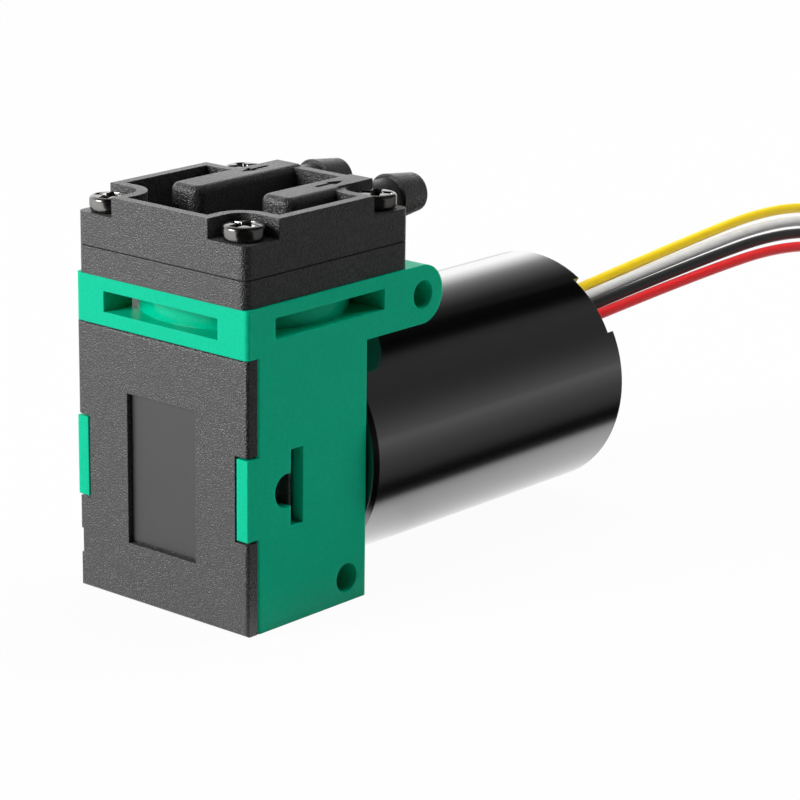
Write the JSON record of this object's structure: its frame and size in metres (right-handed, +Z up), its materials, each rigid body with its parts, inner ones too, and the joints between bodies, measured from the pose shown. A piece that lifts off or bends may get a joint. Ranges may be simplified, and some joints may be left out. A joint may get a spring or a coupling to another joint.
{
  "type": "diaphragm vacuum pump",
  "caption": "Small diaphragm vacuum pump: moulded crankcase with barbed hose ports on top, brushless motor behind and flying leads.",
  "frame": {"origin": "on the housing's flat underside, straight below the middle of the pump head and diaphragm", "axes": "+Y along the motor axis, away from the front cover; +Z up, towards the hose ports; +X across, to the right seen from the front cover"},
  "size_m": [0.0315, 0.1591, 0.045],
  "materials": {
    "green_plastic": "smooth moulded, satin",
    "black_plastic": "finely textured",
    "bare_label": "plain printed film, satin",
    "motor_black": "gloss black coating",
    "screw_steel": "dark nickel plated",
    "black_rubber": "matt",
    "rod_plastic": "glass-filled, natural colour",
    "crank_metal": "die-cast",
    "bearing_steel": "ground",
    "shaft_steel": "ground",
    "laminations": "stacked sheet",
    "copper_wire": "enamelled copper",
    "magnet_grey": "sintered",
    "white_insulator": "moulded",
    "board_green": "solder mask",
    "component_black": "moulded packages",
    "lead_yellow": "wire insulation, satin",
    "lead_white": "wire insulation, satin",
    "lead_black": "wire insulation, satin",
    "lead_red": "wire insulation, satin",
    "tinned_copper": "tinned strands"
  },
  "bodies": {
    "pump": {"compressor_housing": "green_plastic", "front_cover": "black_plastic", "blank_label": "bare_label", "intermediate_plate": "black_plastic", "valve_gaskets": "black_rubber", "head_cover": "black_plastic", "head_screws": "screw_steel", "motor_screws": "screw_steel", "diaphragm": "black_rubber", "front_bearing_outer_ring": "bearing_steel", "rear_bearing_outer_ring": "bearing_steel", "motor_can": "motor_black", "stator_stack": "laminations", "stator_coils": "copper_wire", "end_insulator": "white_insulator", "circuit_board": "board_green", "board_components": "component_black", "motor_rear_cap": "motor_black", "lead_grommet": "black_rubber", "lead_yellow": "lead_yellow", "lead_tip_yellow": "tinned_copper", "lead_white": "lead_white", "lead_tip_white": "tinned_copper", "lead_black": "lead_black", "lead_tip_black": "tinned_copper", "lead_red": "lead_red", "lead_tip_red": "tinned_copper"},
    "rotor": {"motor_shaft": "shaft_steel", "rotor_core": "shaft_steel", "rotor_magnet": "magnet_grey", "eccentric": "crank_metal", "set_screw": "screw_steel", "front_bearing_inner_ring": "bearing_steel", "rear_bearing_inner_ring": "bearing_steel", "crank_bearing_inner_ring": "bearing_steel"},
    "rod": {"connecting_rod": "rod_plastic", "crank_bearing_outer_ring": "bearing_steel", "diaphragm_insert": "shaft_steel"},
    "inlet_valve": {"inlet_valve_disc": "black_rubber"},
    "outlet_valve": {"outlet_valve_disc": "black_rubber"}
  },
  "joints": [
    {"name": "motor_spin", "type": "hinge", "parent": "pump", "child": "rotor", "pos_m": [0, 0, 0.01485], "axis": [0, 1, 0], "continuous": true},
    {"name": "crank_pin_turn", "type": "hinge", "parent": "rotor", "child": "rod", "pos_m": [0, 0, 0.01635], "axis": [0, 1, 0], "continuous": true, "deforming": ["diaphragm"]},
    {"name": "inlet_valve_lift", "type": "slide", "parent": "pump", "child": "inlet_valve", "axis": [0, 0, -1], "range_m": [0, 0.0004], "stiffness_N_per_m": 20},
    {"name": "outlet_valve_lift", "type": "slide", "parent": "pump", "child": "outlet_valve", "axis": [0, 0, 1], "range_m": [0, 0.0004], "stiffness_N_per_m": 20}
  ],
  "couplings": [
    {"joint": "crank_pin_turn", "follows": "motor_spin", "ratio": -1}
  ]
}
